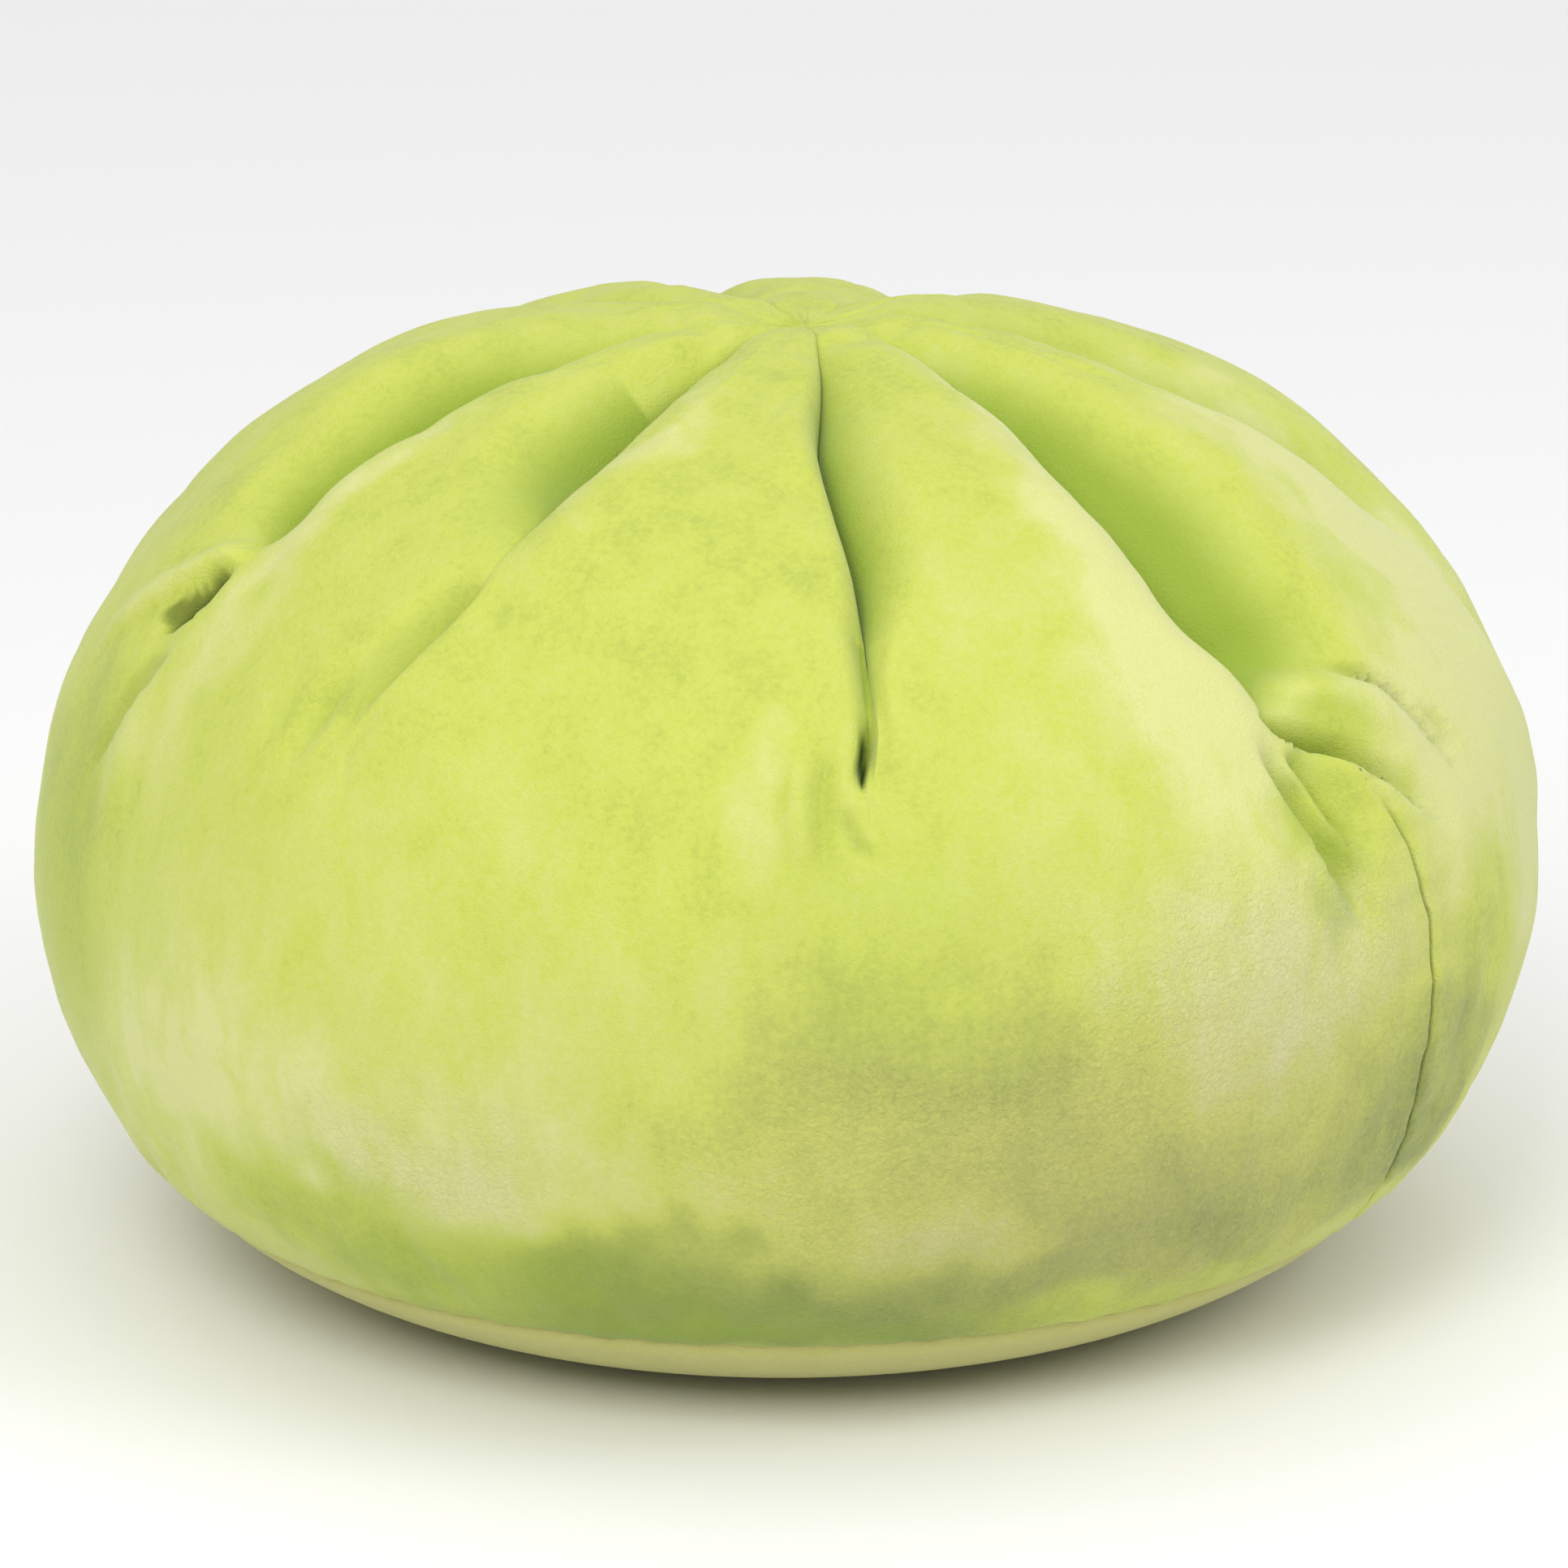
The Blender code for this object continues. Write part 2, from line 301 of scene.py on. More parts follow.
# The cloth pass, and the distances from seams, gather and folds over which the cloth is held
CLOTH_FRAMES = 20
CLOTH_PRESSURE = 4.0
CLOTH_SLACK = 0.012
CLOTH_LIMIT = 0.006
CLOTH_SMOOTHING = 14
CLOTH_STEPS = 4
CLOTH_MASS = 0.15
CLOTH_TENSION = 12
CLOTH_COMPRESSION = 8
CLOTH_SHEAR = 6
CLOTH_BENDING = 0.4
HELD_AT_SIDE = 0.012
HELD_AT_BASE = 0.020
HELD_AT_GATHER = 0.030
HELD_FOLD_DEPTH = 0.016


class Nap(NamedTuple):
    azimuth: float
    reach: float
    half_width: float
    half_height: float
    tone: float


# Patches where the pile is brushed down, tone below 0, or stands up, above 0; a few, as marked, are painted
# shade and painted highlights instead
NAP_AND_PAINTED_LIGHT_PATCHES = (
    Nap(20.0, 0.395, 0.150, 0.070, -0.50),
    Nap(26.0, 0.404, 0.070, 0.036, -0.10),
    Nap(9.0, 0.335, 0.050, 0.032, -0.32),
    Nap(-7.0, 0.352, 0.040, 0.024, -0.25),
    Nap(-6.0, 0.442, 0.100, 0.036, -0.95),
    Nap(42.0, 0.425, 0.090, 0.034, -0.34),
    # Painted shade: the darker strip just above the base seam
    Nap(-4.0, 0.462, 0.180, 0.012, -0.35),
    Nap(-38.0, 0.416, 0.046, 0.028, -0.45),
    Nap(-70.0, 0.335, 0.040, 0.065, -0.20),
    Nap(60.0, 0.388, 0.055, 0.050, -0.85),
    Nap(11.0, 0.410, 0.032, 0.022, 0.40),
    Nap(-26.0, 0.388, 0.050, 0.026, 0.28),
    Nap(-46.0, 0.366, 0.060, 0.032, 0.52),
    Nap(-54.0, 0.390, 0.030, 0.024, 0.25),
    Nap(36.0, 0.334, 0.060, 0.038, 0.52),
    # Painted light on the bulge beside the right pocket, which lies in shade
    Nap(62.0, 0.280, 0.044, 0.044, 0.85),
    Nap(-44.0, 0.300, 0.060, 0.040, 0.10),
    Nap(-26.0, 0.300, 0.055, 0.045, 0.15),
    Nap(22.0, 0.288, 0.055, 0.040, 0.20),
    Nap(-60.0, 0.270, 0.030, 0.030, 0.30),
    # Painted highlights: this and the next lie on the crisp near edges of the left pleats' lobes
    Nap(-57.0, 0.190, 0.012, 0.070, 0.60),
    Nap(-22.0, 0.120, 0.009, 0.050, 0.50),
    Nap(-2.0, 0.268, 0.008, 0.026, 0.45),
    # Painted highlight on the lobe's ridge beside the right pocket
    Nap(36.0, 0.245, 0.032, 0.060, 0.68),
    Nap(24.0, 0.205, 0.040, 0.050, 0.15),
    # Painted highlights: this and the next lie along the right pleat's crisp near edge
    Nap(34.5, 0.185, 0.022, 0.070, 0.90),
    Nap(41.0, 0.105, 0.010, 0.050, 0.80),
    Nap(78.0, 0.200, 0.046, 0.085, 1.15),
    Nap(80.0, 0.290, 0.060, 0.070, 0.70),
    Nap(84.0, 0.330, 0.040, 0.050, 0.60),
)
# Patches where the pile leans away and shows its greener roots, tone from 0 to 1; the last three are painted
# shade
GREEN_PILE_AND_SHADE_PATCHES = (
    Nap(-8.0, 0.440, 0.120, 0.036, 0.66),
    Nap(-38.0, 0.416, 0.046, 0.028, 0.30),
    Nap(-70.0, 0.335, 0.040, 0.070, 0.35),
    Nap(8.0, 0.300, 0.060, 0.040, 0.12),
    # Painted shade: this and the next two green the right tuck's trough and the right pocket
    Nap(41.6, 0.282, 0.010, 0.022, 0.45),
    Nap(44.2, 0.306, 0.010, 0.022, 0.50),
    Nap(46.0, 0.262, 0.022, 0.010, 0.30),
)
NAP_SEED = 3
NAP_WARP_LENGTH = 0.060
NAP_WARP = 0.0045
PATCH_CORE = 0.25
PATCH_FADE = 1.15
# Painted highlight: how much lighter the ridges are, and the height over which it comes in
RIDGE_HIGHLIGHT_TONE = 0.45
RIDGE_HEIGHT = 0.005

# The lower part, painted paler and less yellow, most of all towards one side: painted sheen and the tint of
# the warmer shade there
LOW_PAINTED_LIGHT_TONE = 0.35
LOW_PAINTED_LIGHT_REACH = (0.280, 0.380)
LOW_PAINTED_LIGHT_TINT = (1.00, 0.90, 1.42)
LOW_PAINTED_LIGHT_SIDE = 22.0
LOW_PAINTED_LIGHT_SPREAD = 4
LOW_PAINTED_LIGHT_FADE = (0.432, 0.458)

# Painted shade inside the folds: how much of its colour shows, from what depth, on what share of a steep
# shoulder
FOLD_SHADE_SHARE = 0.90
FOLD_SHADE_DEPTH = 0.016
STEEP_SIDE_SHADE = 0.45
# Painted shade, near black, inside deep creases and the seams' grooves, and how it grows with a crease's
# depth
DEEP_SHADE_COLOUR = (0.035, 0.060, 0.006)
CREASE_DARK_SLOPE = 2.6
CREASE_DARK_START = 0.3

# The velour's shader, and the scale, detail and distortion of its noises
VELOUR_FINISH = {
    "Roughness": 0.9,
    "Specular IOR Level": 0.12,
    "Sheen Weight": 0.35,
    "Sheen Roughness": 0.4,
    "Sheen Tint": (0.97, 1.0, 0.80, 1.0),
}
CLOUDS = (13.0, 6.0, 0.5)
FLECKS = (70.0, 4.0, 0.5)
GRAIN = (420.0, 4.0, 0.5)
STREAKS = (60.0, 2.0, 0.3)
PILE = (1400.0, 2.0)
PILE_LUMPS = (600.0, 4.0, 0.8)

# Patches of crushed, lumpy pile: azimuth, reach, half width and half height
CRUSHED = ((38.0, 0.345, 0.085, 0.045), (8.0, 0.372, 0.070, 0.030), (-28.0, 0.385, 0.045, 0.022),
           (26.0, 0.400, 0.110, 0.060))

# The camera of the photo
CAMERA_DISTANCE = 2.2
CAMERA_ELEVATION = 16.5
CAMERA_AIM_HEIGHT = 0.16
PHOTO_SIDE = 1932
PHOTO_FOCAL = 8101
PHOTO_AIM_ROW = 950.3
SENSOR_WIDTH = 36.0

# The studio: name, place, power and width of its soft lights, the overhead light and the ground light
SOFT_LIGHTS = (("key_light", (-0.7, -2.2, 2.0), 30, 1.3), ("right_light", (2.1, -1.0, 1.8), 14, 1.2))
OVERHEAD_POWER = 1.5
OVERHEAD_TILT = 12
OVERHEAD_SPREAD = 100.0
SURROUND_LIGHT = 0.42


def colour_property(name, description, default):
    return bpy.props.FloatVectorProperty(
        name=name, description=description, subtype="COLOR", size=3, min=0.0, max=1.0, default=default
    )


def length_property(name, description, default):
    return bpy.props.FloatProperty(
        name=name, description=description, unit="LENGTH", precision=4, default=default
    )


class VelourSettings(bpy.types.PropertyGroup):
    raised: colour_property("Raised pile", "Colour where the pile stands up", (0.64, 0.66, 0.26))
    plain: colour_property("Pile", "Colour of the pile as it lies", (0.53, 0.595, 0.105))
    brushed: colour_property("Brushed pile", "Colour where the pile is brushed down", (0.24, 0.295, 0.070))
    # Painted shade: the greener, darker colour laid into the folds
    fold_shade: colour_property("Folds", "Colour inside the pleats", (0.275, 0.385, 0.045))
    base_raised: colour_property("Base, raised pile", "Lighter colour of the base panel", (0.62, 0.595, 0.23))
    base_brushed: colour_property("Base, brushed pile", "Darker colour of the base panel", (0.50, 0.49, 0.15))


class SewingSettings(bpy.types.PropertyGroup):
    pitch: length_property("Stitch", "Length from one stitch to the next", 0.0033)
    stitch: length_property("Thread shown", "Length of thread that shows in a stitch", 0.0021)
    thickness: length_property("Thread", "Thickness of the thread", 0.0007)
    thread: colour_property("Thread colour", "Colour of the sewing thread", (0.13, 0.20, 0.03))


class StudioSettings(bpy.types.PropertyGroup):
    floor: colour_property("Floor", "Colour of the floor", (0.90, 0.90, 0.90))
    floor_width: length_property("Floor width", "Width of the square floor", 30.0)


def smooth(share):
    """0 to 1, level at both ends."""
    share = np.clip(share, 0.0, 1.0)
    return share * share * (3 - 2 * share)


def roll(distance, width):
    """Share of the full depth at a distance from a fold's line, rolled over a quarter circle."""
    share = np.clip(np.abs(distance) / width, 0.0, 1.0)
    return 1 - np.sqrt(np.maximum(0.0, 1 - (1 - share) ** 2))


def flank(distance, width, soft):
    """Share of the full depth beside a fold: from 0 for a sharp roll to 1 for a soft slope."""
    return (1 - soft) * roll(distance, width) + soft * smooth(1 - np.abs(distance) / width)


def turn_between(azimuth, other):
    """From one azimuth to the other the short way round, in degrees."""
    return (azimuth - other + 180) % 360 - 180


def eased(points, place):
    """Values of (place, value) points, with a level start and end between each two."""
    found = np.full_like(place, points[0][1], dtype=float)
    for (here, low), (after, high) in zip(points, points[1:]):
        found = found + (high - low) * smooth((place - here) / (after - here))
    return found


def plump_outline():
    """Half section without pleats, gather to foot: reach, radius, height and the outward direction there."""
    turn = np.linspace(0, math.pi / 2, OUTLINE_SAMPLES)
    crown_radius = RADIUS * np.sin(turn) ** (2 / CROWN_ROUNDNESS)
    crown_rise = (HEIGHT - WIDEST_HEIGHT) * np.cos(turn) ** (2 / CROWN_ROUNDNESS)
    belly_radius = FOOT_RADIUS + (RADIUS - FOOT_RADIUS) * np.cos(turn) ** (2 / BELLY_ROUNDNESS)
    belly_drop = WIDEST_HEIGHT * np.sin(turn) ** (2 / BELLY_ROUNDNESS)
    radius = np.concatenate([crown_radius, belly_radius[1:]])
    height = np.concatenate([WIDEST_HEIGHT + crown_rise, WIDEST_HEIGHT - belly_drop[1:]])
    reach = np.concatenate([[0], np.cumsum(np.hypot(np.diff(radius), np.diff(height)))])
    even = np.linspace(0, reach[-1], OUTLINE_SAMPLES)
    radius = np.interp(even, reach, radius)
    height = np.interp(even, reach, height)
    return even, radius, height, -np.gradient(height, even), np.gradient(radius, even)


OUTLINE = plump_outline()
FOOT_REACH = float(OUTLINE[0][-1])


def plump(reach):
    return [np.interp(reach, OUTLINE[0], values) for values in OUTLINE[1:]]


def lobe_width(number, reach):
    """Degrees from one pleat to the next."""
    after = PLEATS[(number + 1) % len(PLEATS)]
    return (eased(after.path, reach) - eased(PLEATS[number].path, reach)) % 360


def narrowed(pleat, share, reach):
    """1 where a pleat is wide open, down to a share of it as it closes."""
    return 1 + (share - 1) * smooth(1.6 * (reach - pleat.hold) / (pleat.end - pleat.hold))


def shoulder_widths(number, reach, radius):
    """Widths of the shoulders after a lobe's first pleat and before its last, as far as there is room."""
    room = WIDEST_SHOULDER * radius * np.radians(lobe_width(number, reach)) / 2
    first, last = PLEATS[number], PLEATS[(number + 1) % len(PLEATS)]
    after = first.right_shoulder * narrowed(first, first.right_narrowed, reach)
    before = last.left_shoulder * narrowed(last, last.left_narrowed, reach)
    return np.minimum(after, room), np.minimum(before, room)


def open_share(pleat, reach):
    """Share of a pleat's depth that it has at a reach."""
    return smooth(reach / pleat.deepest) * (1 - smooth((reach - pleat.hold) / (pleat.end - pleat.hold)))


def sunk_by_pleats(azimuth, reach, radius, steep_share=1.0):
    """Depth of the pleats, or with their steeper shoulders narrowed to a share of their widths."""
    depth = np.zeros(np.broadcast(azimuth, reach).shape)
    for number, pleat in enumerate(PLEATS):
        across = radius * np.radians(turn_between(azimuth, eased(pleat.path, reach)))
        after = shoulder_widths(number, reach, radius)[0]
        before = shoulder_widths(number - 1, reach, radius)[1]
        steeper = np.minimum(after, before)
        right = flank(across, np.where(after > steeper, after, after * steep_share), pleat.right_soft)
        left = flank(across, np.where(before > steeper, before, before * steep_share), pleat.left_soft)
        depth += pleat.depth * open_share(pleat, reach) * np.where(across > 0, right, left)
    return depth


def curve_through(path, steps=12):
    """Points on a smooth curve through a path's own points."""
    points = np.array(path, float)
    before = np.vstack([2 * points[0] - points[1], points, 2 * points[-1] - points[-2]])
    found = []
    for a, b, c, d in zip(before, before[1:], before[2:], before[3:]):
        for t in np.arange(steps) / steps:
            found.append(0.5 * (2 * b + (c - a) * t + (2 * a - 5 * b + 4 * c - d) * t**2
                                + (3 * b - a - 3 * c + d) * t**3))
    return np.vstack([found, points[-1]])


def sunk_by_crease(crease, azimuth, reach):
    """Depth of one small fold at each point. Left and right are as its line is walked, seen from outside."""
    line = curve_through(crease.path)
    middle = line.mean(axis=0)
    scale = np.radians(1) * plump(middle[1])[0]
    x = turn_between(azimuth, middle[0]) * scale
    y = -(reach - middle[1]) * np.ones_like(x)
    line_x = (line[:, 0] - middle[0]) * scale
    line_y = -(line[:, 1] - middle[1])
    nearest = np.full(x.shape, np.inf)
    signed = np.zeros(x.shape)
    along = np.zeros(x.shape)
    steps = np.hypot(np.diff(line_x), np.diff(line_y))
    walked = np.concatenate([[0], np.cumsum(steps)])
    for here in range(len(steps)):
        dx, dy = line_x[here + 1] - line_x[here], line_y[here + 1] - line_y[here]
        share = np.clip(((x - line_x[here]) * dx + (y - line_y[here]) * dy) / steps[here] ** 2, 0, 1)
        off_x, off_y = x - line_x[here] - share * dx, y - line_y[here] - share * dy
        distance = np.hypot(off_x, off_y)
        closer = distance < nearest
        nearest = np.where(closer, distance, nearest)
        signed = np.where(closer, np.sign(dx * off_y - dy * off_x) * distance, signed)
        along = np.where(closer, (walked[here] + share * steps[here]) / walked[-1], along)
    width = np.where(signed > 0, crease.left_width, crease.right_width)
    ends = smooth(along / crease.rise) * smooth((1 - along) / crease.fall)
    return crease.depth * ends * flank(nearest, width, 1 - crease.sharp)


def side_seam_azimuth(reach):
    return np.interp(reach, *zip(*SIDE_SEAM_PATH))


def beside_side_seam(azimuth, reach, radius):
    """Distance from the side seam, and the share of it that is there at this reach."""
    across = radius * np.radians(turn_between(azimuth, side_seam_azimuth(reach)))
    return across, smooth((reach - SIDE_SEAM_START) / SIDE_SEAM_BEGINS_OVER)


def sunk_by_seams(azimuth, reach, radius):
    across, begun = beside_side_seam(azimuth, reach, radius)
    along = 2 * math.pi * reach / SIDE_PUCKER_LENGTH
    waves = np.sin(along) + np.sin(along / LONGER_PUCKERS)
    puckered = SIDE_PUCKER_HEIGHT * begun * waves / 2 * np.exp(-np.abs(across) / SIDE_PUCKER_WIDTH)
    groove = SIDE_SEAM_DIP * begun * roll(across, SIDE_SEAM_ROLL)
    return groove + puckered * smooth(np.abs(across) / SIDE_SEAM_ROLL)


def sunk_at_base(azimuth, reach):
    near = np.exp(-np.abs(reach - BASE_SEAM_REACH) / BASE_PUCKER_REACH)
    waves = BASE_PUCKER_HEIGHT * near * puckers(azimuth, BASE_PUCKER_LENGTH, PUCKER_SEED)
    return BASE_SEAM_DIP * roll(reach - BASE_SEAM_REACH, BASE_SEAM_ROLL) + waves


def placed(azimuth, reach, depth):
    """Points a depth below the plump form, as an array whose last axis is x, y, z."""
    radius, height, out_radius, out_height = plump(reach)
    shift = 1 - smooth(reach / GATHER_SHIFT_REACH)
    turn = np.radians(azimuth)
    out = radius - depth * out_radius
    return np.stack([
        out * np.sin(turn) + GATHER_SHIFT[0] * shift,
        -out * np.cos(turn) + GATHER_SHIFT[1] * shift,
        height - depth * out_height + 0 * turn,
    ], axis=-1)


def outward(azimuth, reach):
    """Outward direction of the plump form."""
    return placed(azimuth, reach, -1.0) - placed(azimuth, reach, 0.0)


def uneven(points, length, drawn):
    """Soft unevenness of about unit height, as waves in directions drawn at random."""
    ways = drawn.normal(size=(WAVES, 3))
    ways /= np.linalg.norm(ways, axis=1)[:, None]
    starts = drawn.uniform(0, 2 * math.pi, WAVES)
    stretch = drawn.uniform(*WAVE_STRETCH, WAVES)
    waves = np.sin(points @ (ways * stretch[:, None]).T * (2 * math.pi / length) + starts)
    return waves.sum(axis=-1) * math.sqrt(2 / WAVES)


def puckers(azimuth, length, seed):
    """Uneven waves round a ring, between about -1 and 1."""
    drawn = np.random.default_rng(seed)
    ring = 2 * math.pi * RADIUS
    total = np.zeros(np.shape(azimuth))
    counts = drawn.integers(int(0.5 * ring / length), int(1.5 * ring / length), 9)
    for count in counts:
        total += np.sin(count * np.radians(azimuth) + drawn.uniform(0, 2 * math.pi))
    return total / 3


def sunk_at_gather(azimuth, reach):
    near = smooth(reach / GATHER_PUCKERS_BEGIN) * np.exp(-reach / GATHER_PUCKER_REACH)
    waves = sum(np.sin(count * np.radians(azimuth) + count) for count in GATHER_PUCKER_COUNTS)
    dimple = GATHER_DIMPLE * (1 - smooth(reach / GATHER_DIMPLE_REACH))
    return dimple + GATHER_PUCKER_HEIGHT * near * waves / 2


def cover_points(azimuth, reach, radius):
    """Points of the cover, how far its folds have drawn each one in, and the painted shade inside the
    creases.
    """
    folded = sunk_by_pleats(azimuth, reach, radius)
    painted_shade = 0 * folded
    for crease in CREASES:
        sunk = sunk_by_crease(crease, azimuth, reach)
        folded = folded + sunk
        inside = smooth(CREASE_DARK_SLOPE * sunk / crease.depth - CREASE_DARK_START)
        painted_shade = np.maximum(painted_shade, crease.painted_shade * inside)
    depth = folded + sunk_at_gather(azimuth, reach) + sunk_by_seams(azimuth, reach, radius)
    depth = depth + sunk_at_base(azimuth, reach)
    points = placed(azimuth, reach, depth)
    fade = smooth(reach / DENTS_BEGIN_OVER) * smooth((BASE_SEAM_REACH - reach) / DENTS_END_OVER)
    drawn = np.random.default_rng(DENT_SEED)
    rise = fade * sum(height * uneven(points, length, drawn) for length, height in DENTS)
    for lump in LUMPS:
        rise = rise + lump.height * patch_share(azimuth, reach, radius, (0.0, 0.0), lump)
    return points + outward(azimuth, reach) * rise[..., None], folded, painted_shade


def marched(start, end, pitch_at):
    """Places from start to end, each a pitch past the one before."""
    places = [start]
    while places[-1] < end:
        places.append(places[-1] + pitch_at(places[-1]))
    places = np.array(places)
    return start + (places - start) * (end - start) / (places[-1] - start)


def row_pitch(reach):
    middle = FINE_ROW_PITCH if FINE_ROWS[0] < reach < FINE_ROWS[1] else ROW_PITCH
    at_gather = GATHER_PITCH + GATHER_PITCH_GROWTH * reach
    at_base = BASE_PITCH + BASE_PITCH_GROWTH * abs(reach - BASE_SEAM_REACH)
    return min(middle, at_gather, at_base)


def shoulder_steps(width):
    """Shares of a shoulder's width at which its columns lie, closest together at its fold."""
    count = round(width / SHOULDER_PITCH) + SHOULDER_EXTRA_COLUMNS
    return (np.arange(count + 1) / count) ** SHOULDER_CROWDING


def across_lobe(number, reach, radius):
    """Distances of a lobe's columns from its first pleat, for each row."""
    width = radius * np.radians(lobe_width(number, reach))
    first, last = shoulder_widths(number, reach, radius)
    left = first * shoulder_steps(PLEATS[number].right_shoulder)[None, :]
    right = width - last * shoulder_steps(PLEATS[(number + 1) % len(PLEATS)].left_shoulder)[None, ::-1]
    count = PLEATS[number].columns
    between = np.linspace(0, 1, count - left.shape[1] - right.shape[1] + 3)[None, 1:-1]
    crowded = np.concatenate([left, first + (width - last - first) * between, right[:, :-1]], axis=1)
    even = width * np.arange(count)[None, :] / count
    if number != SEAMED_LOBE:
        blend = smooth((reach - EVEN_COLUMNS_FROM) / (EVEN_COLUMNS_BY - EVEN_COLUMNS_FROM))
        return crowded + (even - crowded) * blend
    seam = radius * np.radians(side_seam_azimuth(reach) - eased(PLEATS[number].path, reach))
    beside = seam + np.array([-offset for offset in SEAM_COLUMNS[:0:-1]] + list(SEAM_COLUMNS))[None, :]
    before = beside[:, :1] * np.arange(COLUMNS_BEFORE_SEAM)[None, :] / COLUMNS_BEFORE_SEAM
    left_over = count - COLUMNS_BEFORE_SEAM - beside.shape[1]
    after = beside[:, -1:] + (width - beside[:, -1:]) * np.arange(1, left_over + 1)[None, :] / (left_over + 1)
    seamed = np.concatenate([before, beside, after], axis=1)
    return crowded + (seamed - crowded) * smooth((reach - SIDE_SEAM_START) / SEAM_COLUMNS_BEGIN_OVER)


def cover_columns(reach, radius):
    """Azimuth of every column in every row."""
    found = []
    for number, pleat in enumerate(PLEATS):
        found.append(eased(pleat.path, reach) + np.degrees(across_lobe(number, reach, radius) / radius))
    return np.concatenate(found, axis=1)


def mesh_from_rings(name, rings, top=None):
    """A closed mesh through rings of points, with a middle point or a flat end above the first."""
    rows, columns, _ = rings.shape
    points = [rings.reshape(-1, 3)]
    index = np.arange(rows * columns).reshape(rows, columns)
    after = np.roll(index, -1, axis=1)
    faces = np.stack([index[:-1], index[1:], after[1:], after[:-1]], axis=-1).reshape(-1, 4).tolist()
    if top is None:
        faces.append(index[0].tolist())
    else:
        points.append(np.array([top]))
        faces += [[rows * columns, a, b] for a, b in zip(index[0].tolist(), after[0].tolist())]
    faces.append(index[-1][::-1].tolist())
    mesh = bpy.data.meshes.new(name)
    mesh.from_pydata(np.concatenate(points).tolist(), [], faces)
    mesh.update()
    mesh.shade_smooth()
    piece = bpy.data.objects.new(name, mesh)
    bpy.context.scene.collection.objects.link(piece)
    return piece


def panel_reaches(start, rows):
    return start + (FOOT_REACH - start) * (np.arange(rows + 1) / rows) ** PANEL_CROWDING


def blurred(values, times):
    """Grid values averaged with their neighbours, round each ring and from row to row."""
    for _ in range(times):
        values = (np.roll(values, 1, axis=1) + 2 * values + np.roll(values, -1, axis=1)) / 4
        above = np.concatenate([values[:1], values[:-1]])
        below = np.concatenate([values[1:], values[-1:]])
        values = (above + 2 * values + below) / 4
    return values


def settled(points, outwards, held):
    """Outward moves of the grid points as the stuffing presses the cloth out, held at folds and seams."""
    coarse = points[::2, ::2]
    rows, columns, _ = coarse.shape
    cloth = mesh_from_rings("cloth_pass", coarse)
    group = cloth.vertex_groups.new(name="held")
    for number, weight in enumerate(held[::2, ::2].reshape(-1).tolist()):
        group.add([number], weight, "REPLACE")
    modifier = cloth.modifiers.new("cloth", "CLOTH")
    settings = modifier.settings
    settings.quality = CLOTH_STEPS
    settings.mass = CLOTH_MASS
    settings.tension_stiffness = CLOTH_TENSION
    settings.compression_stiffness = CLOTH_COMPRESSION
    settings.shear_stiffness = CLOTH_SHEAR
    settings.bending_stiffness = CLOTH_BENDING
    settings.use_pressure = True
    settings.uniform_pressure_force = CLOTH_PRESSURE
    settings.vertex_group_mass = "held"
    settings.pin_stiffness = 1.0
    settings.shrink_min = -CLOTH_SLACK
    settings.effector_weights.gravity = 0
    modifier.collision_settings.use_collision = False
    modifier.point_cache.frame_start = 1
    modifier.point_cache.frame_end = CLOTH_FRAMES
    scene = bpy.context.scene
    for step in range(1, CLOTH_FRAMES + 1):
        scene.frame_set(step)
    shape = cloth.evaluated_get(bpy.context.evaluated_depsgraph_get()).data
    flat = np.empty(len(shape.vertices) * 3)
    shape.vertices.foreach_get("co", flat)
    moved = flat.reshape(rows, columns, 3) - coarse
    cloth_mesh = cloth.data
    bpy.data.objects.remove(cloth)
    bpy.data.meshes.remove(cloth_mesh)
    scene.frame_set(1)
    rise = (moved * outwards[::2, ::2]).sum(axis=-1)
    rise = rise - blurred(rise, CLOTH_SMOOTHING)
    fine_rows = np.minimum(np.arange(points.shape[0]) / 2, rows - 1)
    low = np.floor(fine_rows).astype(int)
    high = np.minimum(low + 1, rows - 1)
    share = (fine_rows - low)[:, None]
    by_row = rise[low] * (1 - share) + rise[high] * share
    fine = np.empty(points.shape[:2])
    fine[:, ::2] = by_row
    fine[:, 1::2] = (by_row + np.roll(by_row, -1, axis=1)) / 2
    fine = blurred(fine, 1) * (1 - held)
    return CLOTH_LIMIT * np.tanh(fine / CLOTH_LIMIT)


def held_share(azimuth, reach, radius, folded):
    """1 where sewing or a fold holds the cloth still, 0 where it is free."""
    across, begun = beside_side_seam(azimuth, reach, radius)
    at_side = begun * smooth(1.3 - np.abs(across) / HELD_AT_SIDE)
    at_base = smooth(1.2 - np.abs(reach - BASE_SEAM_REACH) / HELD_AT_BASE)
    at_gather = smooth(1.2 - reach / HELD_AT_GATHER)
    in_fold = smooth(folded / HELD_FOLD_DEPTH)
    return np.maximum.reduce([at_side, at_base + 0 * across, at_gather + 0 * across, in_fold])


def patch_share(azimuth, reach, radius, warp, patch):
    """1 inside a patch, fading over its edge."""
    centre, row, half_width, half_height = patch[:4]
    across = (radius * np.radians(turn_between(azimuth, centre)) + warp[0]) / half_width
    along = (reach - row + warp[1]) / half_height
    return 1 - smooth((np.hypot(across, along) - PATCH_CORE) / PATCH_FADE)


def dark_at_seams(azimuth, reach, radius):
    """Painted shade: the share of the light that the grooves of the seams keep out."""
    across, _ = beside_side_seam(azimuth, reach, radius)
    begun = smooth((reach - SIDE_SEAM_START) / SEAM_DARKENS_OVER)
    at_side = begun * smooth(1.4 - np.abs(across) / SEAM_DARK_WIDTH)
    at_base = smooth(1.5 - (BASE_SEAM_REACH - reach) / BASE_SEAM_DARK_WIDTH)
    return SEAM_DARKNESS * np.maximum(at_side, at_base)


